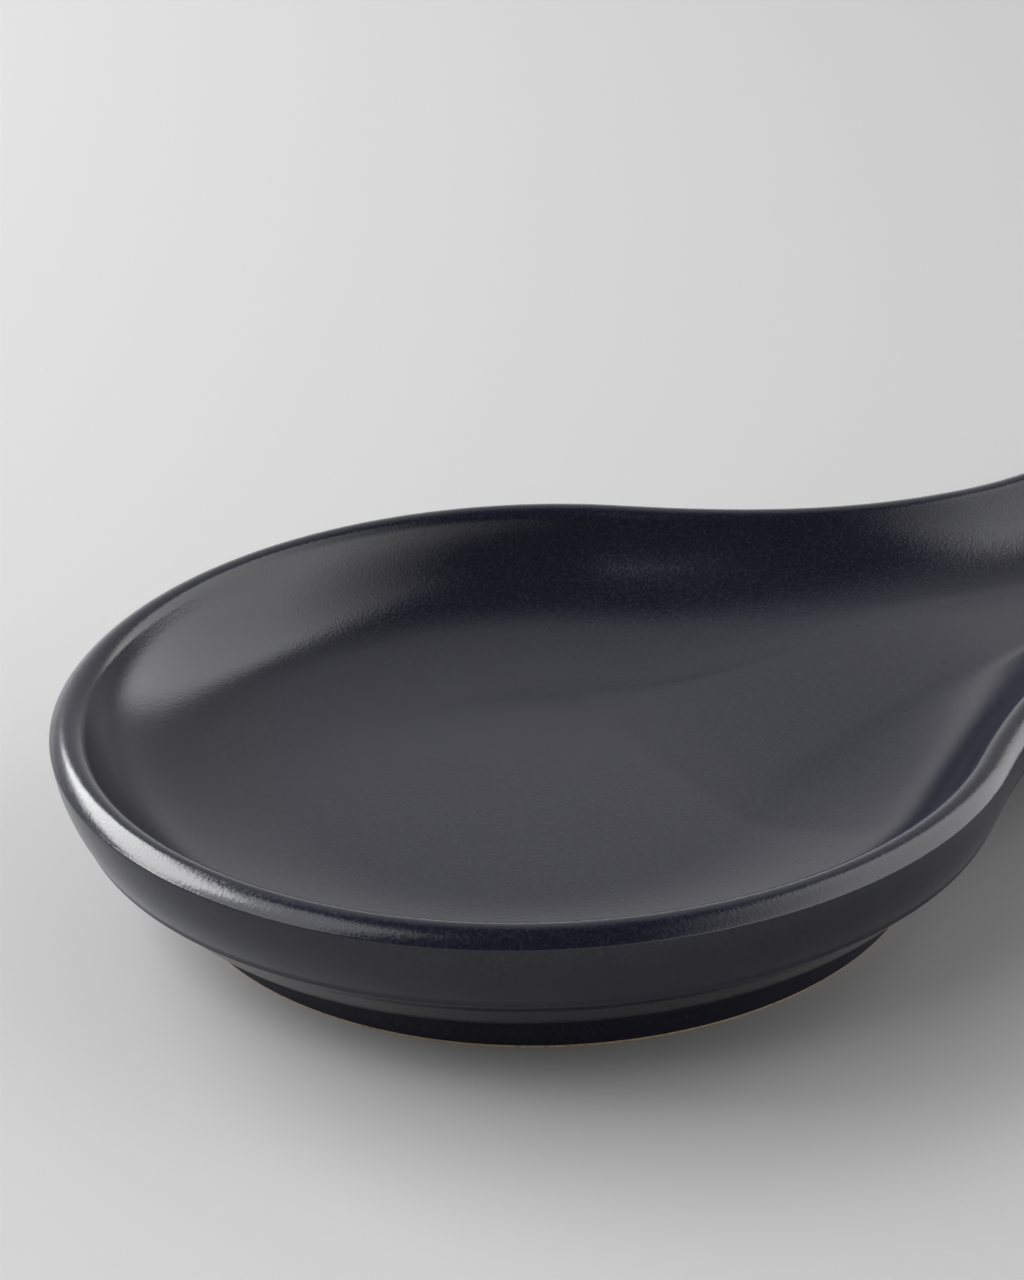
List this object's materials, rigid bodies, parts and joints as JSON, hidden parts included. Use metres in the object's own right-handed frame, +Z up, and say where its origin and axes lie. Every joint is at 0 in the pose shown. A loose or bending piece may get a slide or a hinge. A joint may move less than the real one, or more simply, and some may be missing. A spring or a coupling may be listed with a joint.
{
  "type": "spoon rest",
  "caption": "Oval glazed stoneware spoon rest: a shallow bowl with a rounded lip that runs on into a troughed handle, standing on a bare-edged foot ring.",
  "frame": {"origin": "on the table, under the middle of the whole length and width", "axes": "+X from the bowl along the handle, +Z up"},
  "size_m": [0.227, 0.1154, 0.0279],
  "materials": {
    "stoneware": "matte, unglazed fired clay",
    "glaze": "satin, blue-black, fine eggshell grain"
  },
  "bodies": {
    "root": {"stoneware_body": "stoneware", "foot_ring": "stoneware", "glaze_coat": "glaze", "base_glaze": "glaze"}
  },
  "joints": []
}
